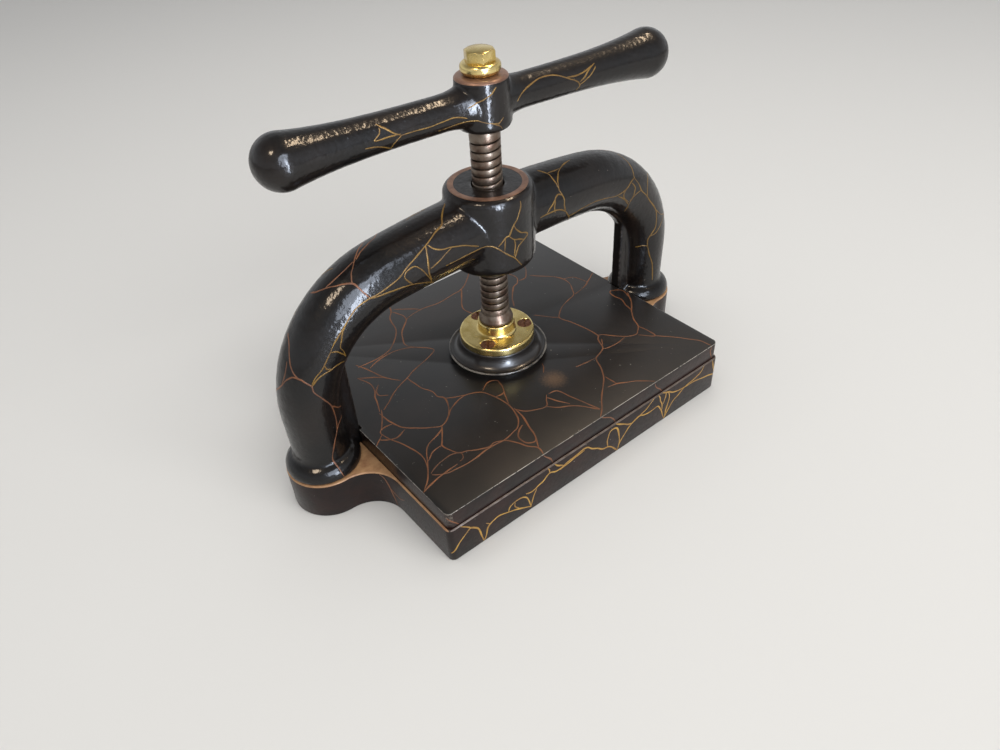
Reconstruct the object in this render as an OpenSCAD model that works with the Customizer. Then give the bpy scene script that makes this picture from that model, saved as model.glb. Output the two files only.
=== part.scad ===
// Screw copying press: iron bed, arch, platen, screw and cross handle.
// Origin at the middle of the bed's underside, X along the arch, front at -Y, Z up, millimetres.

/* [Bed] */
// length of the bed along the arch
base_l = 300; // [270:1:340]
// depth of the bed, front to back
base_w = 254; // [200:1:300]
// thickness of the bed
base_h = 34.5; // [30:0.5:42]
// radius of the bed's upright corners
base_corner = 5; // [2:0.5:10]
// thickness of the bed's top plate
skin_t = 12; // [9:0.5:15]
// thickness of the bed's outer walls
wall_t = 10; // [8:0.5:14]
// thickness of the ribs under the bed
web_t = 8; // [6:0.5:12]
// radius of the rounded ear under each leg
ear_r = 31.5; // [30:0.5:36]
// radius of the hollow curve from ear to bed
ear_fillet = 29; // [24:0.5:30]

/* [Arch] */
// distance of a leg's axis outside the bed's short side
leg_out = 30; // [29:0.5:32]
// leg diameter at the foot
leg_d = 43; // [40:0.5:46]
// crown diameter at the boss
crown_d = 54.5; // [50:0.5:57]
// height of the crown's centre line above the bed
crown_h = 146.3; // [142:0.1:156]
// radius of the bend from leg to crown
bend_r = 88; // [80:1:95]
// slope of the crown where it leaves the bend
crown_slope = 6; // [4:0.5:8]
// diameter of the boss
boss_d = 70.8; // [66:0.2:76]
// height of the boss
boss_h = 66.5; // [63:0.5:70]
// height of the boss's top above the crown's centre line
boss_rise = 30.2; // [29:0.2:32]
// rounding under the boss
boss_round = 8; // [5:0.5:9]
// rounding of the boss's top edge
boss_edge = 5.8; // [3:0.2:7]
// diameter of the rounded collar at each foot
collar_d = 60.4; // [58:0.2:61]
// height of the rounded collar at each foot
collar_h = 12.4; // [10:0.2:13]
// width of the guide rib inside each leg
guide_w = 11; // [8:0.5:14]
// reach of the guide rib over the bed
guide_bite = 3.5; // [2.5:0.5:6]
// depth of the keel under the crown
keel_h = 2.5; // [1:0.5:4]

/* [Platen] */
// platen edge inside the bed's edge
platen_inset = 1.7; // [1:0.1:2.3]
// thickness of the platen
platen_t = 15.5; // [13:0.5:18]
// clearance of the platen's notch round the guide rib
notch_gap = 0.8; // [0.5:0.1:1.5]

/* [Socket] */
// diameter of the dished socket
socket_d = 87; // [82:0.5:92]
// height of the dished socket
socket_h = 16.2; // [15:0.2:18]
// height of the bead round the socket
rim_h = 5; // [4:0.5:6]
// diameter of the brass flange
flange_d = 65; // [63:0.5:68]
// thickness of the brass flange
flange_t = 7; // [6:0.5:8]
// diameter of the flange's hub
swivel_hub_d = 32; // [30:0.5:34]
// height of the flange's hub
swivel_hub_h = 10.5; // [9:0.5:12]
// circle through the flange screws
screw_pcd = 49.6; // [48:0.2:51]
// diameter of a flange screw's head
head_d = 9.6; // [8.4:0.2:10]
// diameter of a flange screw's shank
shank_d = 5; // [4:0.2:5.6]

/* [Screw] */
// outside diameter of the screw's thread
screw_d = 23.4; // [22.6:0.2:24.6]
// rise in one turn
lead = 6.35; // [6:0.05:7]
// depth of the thread
thread_depth = 1.6; // [1.4:0.1:2.2]
// diameter of the neck in the flange
neck_d = 17.4; // [16.4:0.2:17.6]
// diameter of the shoulder above the flange
shoulder_d = 29.5; // [27:0.5:31]
// wall of the threaded bush
nut_wall = 11; // [8:0.5:12]
// height of the flared shoulder
shoulder_h = 17.5; // [12:0.5:18]
// height of the plain part under the handle
plain_h = 8; // [4:0.5:12]

/* [Handle] */
// handle length over both ends
handle_l = 343; // [310:1:370]
// arm diameter at the middle
arm_d = 25.4; // [24:0.2:28]
// diameter of the round ends
bulb_d = 38.4; // [36:0.2:42]
// diameter of the handle's hub at its foot
hub_d = 42.2; // [40:0.2:44]
// diameter of the handle's hub at its top
hub_top_d = 39.2; // [37:0.2:40]
// height of the handle's hub
hub_h = 37.2; // [36:0.2:39]
// height of the arms' centre line above the hub's foot
arm_h = 17.5; // [16:0.5:19]
// clear height between boss and handle's hub
hub_gap = 44; // [40:0.5:50]
// angle of the handle seen from above
handle_turn = -5; // [-45:0.5:45]
// diameter of the brass washer
washer_d = 29.2; // [27:0.2:32]
// thickness of the brass washer
washer_t = 8.8; // [8.6:0.2:11]
// width of the brass bolt's head across flats
bolt_af = 19.8; // [18:0.2:22]
// height of the brass bolt's head
bolt_head_h = 8.9; // [7:0.1:11]
// angle of the brass bolt's corners
bolt_turn = 5; // [0:1:60]

/* [Fits] */
// gap between parts that come to rest on each other
rest_gap = 0.3; // [0.3:0.05:0.4]
// running clearance of the neck in the flange
run_gap = 0.05; // [0.02:0.01:0.08]
// clearance between the threads
thread_gap = 0.4; // [0.35:0.05:0.45]
// clearance of a bolt in its hole
bolt_gap = 0.4; // [0.35:0.05:0.6]

/* [Hidden] */
$fn = 64;
leg_x = base_l / 2 + leg_out;
ear_x = base_l / 2 + ear_fillet;
crown_z = base_h + crown_h;
bend_x = leg_x - bend_r;
bend_end = 90 - crown_slope;
crown_x = bend_x + bend_r * cos(bend_end);
crown_end_z = crown_z - tan(crown_slope) * crown_x / 2;
bend_z = crown_end_z - bend_r * sin(bend_end);
boss_top = crown_z + boss_rise;
boss_z = boss_top - boss_h;
guide_x = base_l / 2 - guide_bite;
platen_z = base_h + rest_gap;
platen_top = platen_z + platen_t;
flange_z = platen_top + socket_h;
flange_top = flange_z + flange_t;
swivel_top = flange_top + swivel_hub_h;
shoulder_z = swivel_top + rest_gap;
handle_z = boss_top + hub_gap;
handle_axis = handle_z + arm_h;
shoulder_top = shoulder_z + shoulder_h;
thread_z = shoulder_top;
thread_turns = ceil((handle_z - thread_z) / lead - 1.25);
seat_z = handle_z + lead + 0.6;
washer_z = handle_z + hub_h;
bolt_z = washer_z + washer_t;
core_r = screw_d / 2 - thread_depth;
square_w = core_r * 1.62;
spigot_r = neck_d / 2 - 1.7;
pad_t = 5;
button_r = neck_d / 2 + 7.5;
button_z = platen_top + pad_t + rest_gap;
button_top = flange_z - rest_gap;
cavity_r = button_r + 1.5;
nut_r = screw_d / 2 + nut_wall;
nut_h = boss_h - 6.5;
arch_bolt_r = 8;
arch_bolt_af = 24;
arch_bolt_head = 10;
seat_r = 17.5;
seat_d = 16;
washer_rim = 3;
pin_r = 2.4;
cell_nx = 3;
cell_ny = 2;
cell_l = (base_l - 2 * wall_t - (cell_nx - 1) * web_t) / cell_nx;
cell_w = (base_w - 2 * wall_t - (cell_ny - 1) * web_t) / cell_ny;
handle_bolt_r = 4.6;
handle_bolt_l = 24;
japan = [0.1, 0.09, 0.09];
brass = [0.72, 0.6, 0.3];
steel = [0.55, 0.53, 0.5];
bronze = [0.6, 0.44, 0.25];
screw_angles = [-147, -27, 93];
slot_turns = [20, 75, -35];

// points of an arc about c, from angle a0 to a1 in n steps
function arc(c, r, a0, a1, n) = [for (i = [0 : n])
    let (a = a0 + (a1 - a0) * i / n)
    [c[0] + r * cos(a), c[1] + r * sin(a)]];
function turn_half(points) = [for (p = points) [-p[0], -p[1]]];

// outline of the bed: front right corner, then the right ear, then the back right corner
ear_reach = ear_r + ear_fillet;
bed_right = concat(
    arc([base_l / 2 - base_corner, -base_w / 2 + base_corner], base_corner, -90, 0, 6),
    arc([ear_x, -ear_reach], ear_fillet, 180, 90, 12),
    arc([ear_x, 0], ear_r, -86, 86, 28),
    arc([ear_x, ear_reach], ear_fillet, 270, 180, 12),
    arc([base_l / 2 - base_corner, base_w / 2 - base_corner], base_corner, 0, 90, 6));

module base() {
    color(japan)
    difference() {
        linear_extrude(height = base_h)
            polygon(concat(bed_right, turn_half(bed_right)));
        for (i = [0 : cell_nx - 1], j = [0 : cell_ny - 1]) {
            translate([-base_l / 2 + wall_t + i * (cell_l + web_t),
                       -base_w / 2 + wall_t + j * (cell_w + web_t), -1])
                cube([cell_l, cell_w, base_h - skin_t + 1]);
        }
        for (s = [-1, 1]) {
            translate([s * leg_x, 0, -1])
                cylinder(r = arch_bolt_r + bolt_gap, h = base_h + 2);
            translate([s * leg_x, 0, -1])
                cylinder(r = seat_r, h = seat_d + 1);
        }
    }
}

// half of the arch's centre line, foot to middle: x, z, turn, length walked
foot_sink = 4;
ring_leg = 4;
ring_bend = 14;
ring_crown = 12;
leg_run = bend_z - base_h;
bend_run = bend_r * bend_end * PI / 180;
path_run = leg_run + bend_run + crown_x;
half_path = concat(
    [for (i = [0 : ring_leg - 1])
        let (k = i / ring_leg)
        [leg_x, base_h + max(foot_sink, leg_run * k), 0, leg_run * k]],
    [for (i = [0 : ring_bend])
        let (a = bend_end * i / ring_bend)
        [bend_x + bend_r * cos(a), bend_z + bend_r * sin(a), a, leg_run + bend_r * a * PI / 180]],
    [for (i = [1 : ring_crown])
        let (x = crown_x * (1 - i / ring_crown))
        [x, crown_z - tan(crown_slope) * x * x / (2 * crown_x),
         90 - atan(tan(crown_slope) * x / crown_x), leg_run + bend_run + crown_x - x]]);
half_count = len(half_path);

function smooth(t) = let (k = max(0, min(1, t))) k * k * (3 - 2 * k);
function tube_r(run) = leg_d / 2 + (crown_d - leg_d) / 2 * run / path_run;
function keel(run) = let (x = path_run - run)
    keel_h * smooth(run / 20) * smooth((x - boss_d / 2) / 40);

// outline of the arch's section: Y, then the distance from the centre line, positive inward
section_n = 26;
ring_n = section_n + 2;
function section(run) =
    let (r = tube_r(run), k = guide_w / 2, a0 = asin(k / r))
    concat(
        [[k - 0.8, r + keel(run) + 0.1], [-k + 0.8, r + keel(run) + 0.1]],
        [for (i = [0 : section_n - 1])
            let (a = -a0 - (360 - 2 * a0) * i / (section_n - 1))
            [r * sin(a), r * cos(a)]]);
function ring(h, s) = [for (q = section(h[3]))
    [s * (h[0] - q[1] * cos(h[2])), q[0], h[1] - q[1] * sin(h[2])]];
arch_rings = concat(
    [for (i = [0 : half_count - 1]) ring(half_path[i], -1)],
    [for (i = [half_count - 2 : -1 : 0]) ring(half_path[i], 1)]);
ring_count = len(arch_rings);

module arch_beam() {
    last = (ring_count - 1) * ring_n;
    sides = [for (i = [0 : ring_count - 2], j = [0 : ring_n - 1])
        let (a = i * ring_n + j, b = i * ring_n + (j + 1) % ring_n)
        each [[a, b, a + ring_n], [b, b + ring_n, a + ring_n]]];
    caps = [[for (j = [ring_n - 1 : -1 : 0]) j], [for (j = [0 : ring_n - 1]) last + j]];
    polyhedron(points = [for (r = arch_rings, p = r) p], faces = concat(sides, caps), convexity = 6);
}

// rounded collar at the foot of a leg, widest at the bed
module collar() {
    foot = 1.6;
    inner = leg_d / 2 - 0.6;
    rotate_extrude()
        polygon(concat([[0, 0], [collar_d / 2 - 0.4, 0]],
            [for (i = [0 : 12]) let (t = 7.5 * i)
                [inner + (collar_d / 2 - inner) * cos(t), foot + (collar_h - foot) * sin(t)]],
            [[0, collar_h]]));
}

module boss() {
    translate([0, 0, boss_z])
        rotate_extrude()
            polygon(concat([[0, 0]],
                arc([boss_d / 2 - boss_round, boss_round], boss_round, -90, 0, 8),
                arc([boss_d / 2 - boss_edge, boss_h - boss_edge], boss_edge, 0, 90, 5),
                [[0, boss_h]]));
}

module arch() {
    guide_top = bend_z + bend_r / 2;
    guide_l = leg_x - 12 - guide_x;
    color(japan)
    difference() {
        union() {
            arch_beam();
            boss();
            for (s = [-1, 1]) {
                translate([s * leg_x, 0, base_h])
                    collar();
                translate([s * (guide_x + guide_l / 2), 0, (base_h + guide_top) / 2])
                    cube([guide_l, guide_w, guide_top - base_h], center = true);
            }
        }
        translate([0, 0, boss_z - 1])
            cylinder(r = nut_r, h = nut_h + 1);
        translate([0, 0, boss_z])
            cylinder(r = screw_d / 2 + 0.6, h = boss_h + 1);
        for (s = [-1, 1]) {
            translate([s * leg_x, 0, base_h - 1])
                cylinder(r = arch_bolt_r, h = 41);
        }
    }
}

module arch_bolt(s) {
    color(steel)
    translate([s * leg_x, 0, seat_d - washer_rim])
    union() {
        translate([0, 0, -arch_bolt_head])
            rotate([0, 0, 30])
                cylinder(r = arch_bolt_af / sqrt(3), h = arch_bolt_head, $fn = 6);
        translate([0, 0, -1])
            cylinder(r = arch_bolt_r - run_gap, h = base_h - seat_d + washer_rim + 38);
    }
}

module arch_washer(s) {
    color(steel)
    translate([s * leg_x, 0, seat_d - washer_rim])
    difference() {
        cylinder(r = seat_r - 1.5, h = washer_rim);
        translate([0, 0, -1])
            cylinder(r = arch_bolt_r + bolt_gap, h = washer_rim + 2);
    }
}

module arch_bolt_left() {
    arch_bolt(-1);
}

module arch_bolt_right() {
    arch_bolt(1);
}

module arch_washer_left() {
    arch_washer(-1);
}

module arch_washer_right() {
    arch_washer(1);
}

// right-hand thread of whole turns from z0 up, grown all round by a clearance
turn_n = 24;
crest_w = 0.6;
root_w = 0.2;
flank_w = (1 - crest_w - root_w) / 2;
module thread(z0, turns, grow) {
    ro = screw_d / 2 + grow;
    ri = core_r + grow;
    g = grow / lead;
    row_at = [-g, flank_w - g, flank_w + crest_w + g, 1 - root_w + g];
    row_r = [ri, ro, ro, ri];
    pts = concat(
        thread_end(ri, z0 - lead / 4),
        [for (k = [0 : 4 * turns], i = [0 : turn_n - 1])
            let (a = 360 * i / turn_n, r = row_r[k % 4])
            [r * cos(a), r * sin(a), z0 + lead * (floor(k / 4) + row_at[k % 4] + a / 360)]],
        thread_end(ri, z0 + lead * (turns + 1.25)));
    polyhedron(points = pts, faces = thread_faces(4 * turns, turn_n), convexity = 10);
}

function thread_end(r, z) = [for (i = [0 : turn_n - 1])
    let (a = 360 * i / turn_n)
    [r * cos(a), r * sin(a), z]];

// faces of the thread: each row climbs one lead in a turn and joins the row four further up
function thread_faces(rows, n) =
    let (top = (rows + 2) * n)
    concat(
        [[for (i = [0 : n - 1]) i], [for (i = [n - 1 : -1 : 0]) top + i]],
        [for (k = [0 : rows + 1], i = [0 : n - 2])
            let (a = k * n + i, b = a + n)
            each [[a, b, a + 1], [a + 1, b, b + 1]]],
        [for (k = [-1 : 3]) [n - 1, max(k, -1) * n + 2 * n, (k + 1) * n]],
        [[n - 1, 2 * n - 1, 5 * n]],
        [for (k = [1 : rows - 4])
            let (a = k * n + n - 1, c = (k + 4) * n)
            each [[a, a + n, c], [c, a + n, c + n]]],
        [for (k = [rows - 3 : rows + 1])
            let (a = k * n + n - 1)
            [a, a + n, top]],
        [[(rows - 3) * n + n - 1, top, (rows + 1) * n]]);

module screw_nut() {
    first = thread_z + lead * (floor((boss_z - thread_z) / lead) - 2);
    color(bronze)
    difference() {
        translate([0, 0, boss_z])
            cylinder(r = nut_r - run_gap, h = nut_h);
        thread(first, ceil(nut_h / lead) + 3, thread_gap);
    }
}

module platen() {
    notch_x = guide_x - notch_gap;
    plate_l = base_l - 2 * platen_inset;
    plate_w = base_w - 2 * platen_inset;
    corner = arc([plate_l / 2 - base_corner, -plate_w / 2 + base_corner], base_corner, -90, 0, 6);
    right = concat(corner,
        [[plate_l / 2, -guide_w / 2 - notch_gap], [notch_x, -guide_w / 2 - notch_gap],
         [notch_x, guide_w / 2 + notch_gap], [plate_l / 2, guide_w / 2 + notch_gap]],
        [for (i = [len(corner) - 1 : -1 : 0]) [corner[i][0], -corner[i][1]]]);
    color(japan)
    difference() {
        translate([0, 0, platen_z])
            linear_extrude(height = platen_t)
                polygon(concat(right, turn_half(right)));
        for (a = screw_angles) {
            rotate([0, 0, a])
                translate([screw_pcd / 2, 0, platen_top - 10])
                    cylinder(r = shank_d / 2, h = 11);
        }
    }
}

module socket() {
    rim_r = socket_d / 2;
    top_r = flange_d / 2 + 0.6;
    bead = 1.3;
    dish = rim_r - 3 - top_r;
    rise = socket_h - rim_h - 1.2;
    color(japan)
    difference() {
        translate([0, 0, platen_top])
            rotate_extrude()
                polygon(concat(
                    [[cavity_r, 0], [rim_r - 0.5, 0], [rim_r, 0.5]],
                    arc([rim_r - bead, rim_h], bead, 0, 165, 8),
                    [for (i = [0 : 10]) let (t = 9 * i)
                        [rim_r - 3 - dish * sin(t), rim_h - 0.5 + rise * (1 - cos(t))]],
                    [[top_r, socket_h], [cavity_r, socket_h]]));
        for (a = screw_angles) {
            rotate([0, 0, a])
                translate([screw_pcd / 2, 0, platen_top - 1])
                    cylinder(r = shank_d / 2 + 0.3, h = socket_h + 2);
        }
    }
}

head_h = 2.8;
head_sink = 0.3;
module swivel_flange() {
    bore_r = neck_d / 2 + run_gap;
    hub_r = swivel_hub_d / 2;
    rim_r = flange_d / 2;
    color(brass)
    difference() {
        translate([0, 0, flange_z])
            rotate_extrude()
                polygon(concat(
                    [[bore_r, 0], [rim_r - 0.6, 0], [rim_r, 0.6]],
                    arc([rim_r - 2, flange_t - 2], 2, 0, 90, 6),
                    arc([hub_r + 2.5, flange_t + 2.5], 2.5, 270, 180, 6),
                    arc([hub_r - 1.4, flange_t + swivel_hub_h - 1.4], 1.4, 0, 90, 4),
                    [[bore_r, flange_t + swivel_hub_h]]));
        for (a = screw_angles) {
            rotate([0, 0, a])
                translate([screw_pcd / 2, 0, flange_z - 1])
                    cylinder(r = shank_d / 2 + 0.3, h = flange_t + 2);
            rotate([0, 0, a])
                translate([screw_pcd / 2, 0, flange_top - head_h - head_sink])
                    cylinder(r = head_d / 2 + 0.15, h = head_h + 1);
        }
    }
}

module flange_screw(a, slot_turn) {
    color(steel)
    rotate([0, 0, a])
    translate([screw_pcd / 2, 0, flange_top - head_h - head_sink])
    difference() {
        union() {
            cylinder(r = head_d / 2, h = head_h);
            translate([0, 0, platen_top - 9 - flange_top + head_h + head_sink])
                cylinder(r = shank_d / 2 - run_gap, h = flange_top - head_h - head_sink - platen_top + 10);
        }
        rotate([0, 0, slot_turn])
            translate([0, 0, head_h])
                cube([head_d + 2, 1.3, 2.6], center = true);
    }
}

module flange_screw_1() {
    flange_screw(screw_angles[0], slot_turns[0]);
}

module flange_screw_2() {
    flange_screw(screw_angles[1], slot_turns[1]);
}

module flange_screw_3() {
    flange_screw(screw_angles[2], slot_turns[2]);
}

module thrust_pad() {
    color(steel)
    translate([0, 0, platen_top])
        cylinder(r = cavity_r - 0.15, h = pad_t);
}

// flare of the screw's foot, running up into the thread's outside
module shoulder() {
    rise = shoulder_h - 2;
    translate([0, 0, shoulder_z])
        rotate_extrude()
            polygon(concat(
                [[0, 0], [shoulder_d / 2 - 0.6, 0], [shoulder_d / 2, 0.6]],
                [for (i = [0 : 10]) let (t = i / 10)
                    [screw_d / 2 + (shoulder_d - screw_d) / 2 * pow(1 - t, 2), 2 + rise * t]],
                [[0, shoulder_h]]));
}

module screw() {
    color(steel)
    difference() {
        union() {
            thread(thread_z, thread_turns, 0);
            shoulder();
            translate([0, 0, button_z + 0.5])
                cylinder(r = spigot_r, h = shoulder_z - button_z);
            translate([0, 0, button_top])
                cylinder(r = neck_d / 2, h = shoulder_z - button_top + 1);
            translate([0, 0, shoulder_z])
                cylinder(r = core_r - 0.4, h = seat_z - shoulder_z);
            translate([0, 0, handle_z - plain_h])
                cylinder(r = screw_d / 2 + 0.05, h = seat_z - handle_z + plain_h);
            translate([0, 0, (seat_z + washer_z) / 2 - 1])
                cube([square_w, square_w, washer_z - seat_z], center = true);
        }
        translate([0, 0, washer_z - handle_bolt_l])
            cylinder(r = handle_bolt_r, h = handle_bolt_l + 1);
        translate([0, 0, (button_z + button_top) / 2])
            rotate([0, 90, 0])
                cylinder(r = pin_r, h = 2 * button_r + 2, center = true);
    }
}

module thrust_button() {
    color(steel)
    difference() {
        translate([0, 0, button_z])
            cylinder(r = button_r, h = button_top - button_z);
        translate([0, 0, button_z - 1])
            cylinder(r = spigot_r + run_gap, h = button_top - button_z + 2);
        translate([0, 0, (button_z + button_top) / 2])
            rotate([0, 90, 0])
                cylinder(r = pin_r, h = 2 * button_r + 2, center = true);
    }
}

module button_pin() {
    color(steel)
    translate([0, 0, (button_z + button_top) / 2])
        rotate([0, 90, 0])
            cylinder(r = pin_r - 0.02, h = 2 * button_r - 1, center = true);
}

// half profile of the handle bar: radius, distance from the middle
bulb_r = bulb_d / 2;
bulb_at = handle_l / 2 - bulb_r;
bulb_lead = 96;
swell = 4.2;
bar_end = bulb_at + bulb_r * cos(bulb_lead);
function bar_r(s) = arm_d / 2 + (bulb_r * sin(bulb_lead) - arm_d / 2) * pow(s / bar_end, swell)
    + min(4, arm_h - arm_d / 2 - 0.8) * pow(min(1, max(0, hub_d / 2 + 13 - s) / 21), 2);
bar_half = concat(
    [for (i = [0 : 22]) let (s = bar_end * i / 22) [bar_r(s), s]],
    [for (i = [1 : 12]) let (a = bulb_lead * (1 - i / 12)) [bulb_r * sin(a), bulb_at + bulb_r * cos(a)]]);

module handle() {
    low = 5;
    high = 3;
    color(japan)
    rotate([0, 0, handle_turn])
    difference() {
        union() {
            translate([0, 0, handle_axis])
                rotate([0, 90, 0])
                    rotate_extrude()
                        polygon(concat(
                            [for (i = [len(bar_half) - 1 : -1 : 1]) [bar_half[i][0], -bar_half[i][1]]],
                            bar_half));
            translate([0, 0, handle_z])
                rotate_extrude()
                    polygon(concat([[0, 0]],
                        arc([hub_d / 2 - low, low], low, -90, 0, 6),
                        arc([hub_top_d / 2 - high, hub_h - high], high, 0, 90, 5),
                        [[0, hub_h]]));
        }
        translate([0, 0, handle_z - 1])
            cylinder(r = screw_d / 2 + 0.4, h = seat_z - handle_z + 1);
        rotate([0, 0, -handle_turn])
            translate([0, 0, handle_z + hub_h / 2])
                cube([square_w + 0.1, square_w + 0.1, hub_h + 2], center = true);
    }
}

module handle_washer() {
    low = 4.8;
    high = 3.4;
    color(brass)
    translate([0, 0, washer_z])
        rotate_extrude()
            polygon(concat(
                [[handle_bolt_r + bolt_gap, 0]],
                arc([washer_d / 2 - low, low], low, -80, 0, 6),
                arc([washer_d / 2 - high, washer_t - high], high, 0, 80, 6),
                [[handle_bolt_r + bolt_gap, washer_t]]));
}

module handle_bolt() {
    color(brass)
    translate([0, 0, bolt_z])
    union() {
        intersection() {
            rotate([0, 0, bolt_turn])
                cylinder(r = bolt_af / sqrt(3), h = bolt_head_h, $fn = 6);
            rotate_extrude()
                polygon([[0, 0], [bolt_af / sqrt(3) + 1, 0], [bolt_af / sqrt(3) + 1, bolt_head_h - 2.6],
                         [bolt_af / 2 - 0.7, bolt_head_h - 0.9], [bolt_af / 4, bolt_head_h - 0.2],
                         [0, bolt_head_h]]);
        }
        translate([0, 0, -washer_t - handle_bolt_l + 2])
            cylinder(r = handle_bolt_r - run_gap, h = washer_t + handle_bolt_l - 1);
    }
}

base();
arch();
arch_bolt_left();
arch_bolt_right();
arch_washer_left();
arch_washer_right();
screw_nut();
platen();
socket();
swivel_flange();
flange_screw_1();
flange_screw_2();
flange_screw_3();
thrust_pad();
screw();
thrust_button();
button_pin();
handle();
handle_washer();
handle_bolt();
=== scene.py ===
import bpy
import bmesh
import math
from mathutils import Matrix, Vector, noise
from mathutils.bvhtree import BVHTree


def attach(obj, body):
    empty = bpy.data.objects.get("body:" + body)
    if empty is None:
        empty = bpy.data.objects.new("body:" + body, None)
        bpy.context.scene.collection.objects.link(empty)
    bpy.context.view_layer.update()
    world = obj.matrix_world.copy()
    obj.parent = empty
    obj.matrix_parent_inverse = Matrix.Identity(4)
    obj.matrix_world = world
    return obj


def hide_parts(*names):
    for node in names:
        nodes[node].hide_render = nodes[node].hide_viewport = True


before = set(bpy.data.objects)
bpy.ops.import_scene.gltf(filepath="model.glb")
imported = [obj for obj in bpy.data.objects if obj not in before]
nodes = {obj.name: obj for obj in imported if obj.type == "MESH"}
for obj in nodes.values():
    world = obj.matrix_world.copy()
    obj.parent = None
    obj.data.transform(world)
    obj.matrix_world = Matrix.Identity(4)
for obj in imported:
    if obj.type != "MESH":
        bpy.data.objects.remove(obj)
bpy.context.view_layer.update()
scene = bpy.context.scene
mm = 0.001


# small tools used by every piece

def linear(hexCode):
    channels = [int(hexCode[i:i + 2], 16) / 255 for i in (1, 3, 5)]
    return tuple(c / 12.92 if c <= 0.04045 else ((c + 0.055) / 1.055) ** 2.4 for c in channels) + (1.0,)


def addNode(tree, kind, settings=None, inputs=None):
    node = tree.nodes.new("ShaderNode" + kind)
    for key, value in (settings or {}).items():
        setattr(node, key, value)
    for key, value in (inputs or {}).items():
        if isinstance(value, bpy.types.NodeSocket):
            tree.links.new(value, node.inputs[key])
        else:
            node.inputs[key].default_value = value
    return node


def perMm(size):
    return 1 / (size * mm)  # noise scale for features about this many millimetres wide


def startMaterial(name):
    material = bpy.data.materials.new(name)
    material.use_nodes = True
    tree = material.node_tree
    place = addNode(tree, "TexCoord").outputs["Object"]
    return material, tree, tree.nodes["Principled BSDF"], place


def keepPiece(name, bm, body, materials, replaced=(), sharp=35):
    mesh = bpy.data.meshes.new(name)
    bm.to_mesh(mesh)
    bm.free()
    for material in materials:
        mesh.materials.append(material)
    mesh.shade_smooth()
    mesh.set_sharp_from_angle(angle=math.radians(sharp))
    piece = bpy.data.objects.new(name, mesh)
    scene.collection.objects.link(piece)
    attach(piece, body)
    if replaced:
        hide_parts(*replaced)
    print(f"piece {name}: {len(mesh.polygons)} faces")
    return piece


def cadCopy(node):
    bm = bmesh.new()
    bm.from_mesh(nodes[node].data)
    bmesh.ops.remove_doubles(bm, verts=bm.verts[:], dist=0.002 * mm)
    return bm


def roundEdges(bm, width, segments, sharpest=35):
    bmesh.ops.dissolve_limit(bm, angle_limit=math.radians(0.5), verts=bm.verts[:], edges=bm.edges[:])
    edges = [e for e in bm.edges if len(e.link_faces) == 2 and e.calc_face_angle(0) > math.radians(sharpest)]
    bmesh.ops.bevel(bm, geom=edges, offset=width * mm, offset_type="OFFSET", affect="EDGES", segments=segments,
                    profile=0.5, material=-1, clamp_overlap=True)


sandGrain = [(9.0, 0.07), (3.6, 0.045)]  # size and height of the sand mould's ripples, in millimetres


def castSkin(bm, voxel, rounds):
    # one closed cast surface, its inner corners filled and its edges softened as in a sand mould
    mesh = bpy.data.meshes.new("mould")
    bm.to_mesh(mesh)
    bm.free()
    mould = bpy.data.objects.new("mould", mesh)
    scene.collection.objects.link(mould)
    remesh = mould.modifiers.new("remesh", "REMESH")
    remesh.mode = "VOXEL"
    remesh.voxel_size = voxel * mm
    skin = bmesh.new()
    skin.from_object(mould, bpy.context.evaluated_depsgraph_get())
    bpy.data.objects.remove(mould)
    for _ in range(rounds):
        bmesh.ops.smooth_vert(skin, verts=skin.verts[:], factor=0.5, use_axis_x=True, use_axis_y=True,
                              use_axis_z=True)
    skin.normal_update()
    for v in skin.verts:
        swell = sum(height * noise.noise(v.co * perMm(size)) for size, height in sandGrain)
        v.co += v.normal * swell * mm
    return skin


def markWear(bm, low, high, below=400, facing=-1):
    # how much each narrow edge stands proud, kept for the materials as the attribute edgeWear
    layer = bm.verts.layers.float.new("edgeWear")
    bm.normal_update()
    for v in bm.verts:
        onBroad = any(f.calc_area() > mm * f.calc_perimeter() for f in v.link_faces)
        if onBroad or v.co.z > below * mm or v.normal.z < facing:
            continue
        bend = sum(v.normal.dot((v.co - e.other_vert(v).co).normalized()) for e in v.link_edges)
        v[layer] = min(1, max(0, (bend / max(1, len(v.link_edges)) - low) / (high - low)))


def turned(profile, steps, foot=0):
    # a turned piece: radius and height in millimetres, spun round the press's own axis
    bm = bmesh.new()
    verts = [bm.verts.new((r * mm, 0, (z + foot) * mm)) for r, z in profile]
    edges = [bm.edges.new(pair) for pair in zip(verts, verts[1:])]
    bmesh.ops.spin(bm, geom=verts + edges, cent=(0, 0, 0), axis=(0, 0, 1), angle=2 * math.pi, steps=steps,
                   use_merge=True)
    bmesh.ops.remove_doubles(bm, verts=bm.verts[:], dist=0.001 * mm)
    bmesh.ops.recalc_face_normals(bm, faces=bm.faces[:])
    return bm


def arcPoints(centre, radius, first, last, steps):
    angles = [math.radians(first + (last - first) * i / steps) for i in range(steps + 1)]
    return [(centre[0] + radius * math.cos(a), centre[1] + radius * math.sin(a)) for a in angles]


# camera at the photograph's place

cameraPlace = {
    "target": (-57.87, -77.39, 100.0),  # millimetres
    "distance": 588.06,
    "azimuth": -36.92,
    "elevation": 40.04,
    "roll": -3.60,
    "lens": 28.008,
    "sensor": 36,
    "nearest": 0.02,
}


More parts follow.
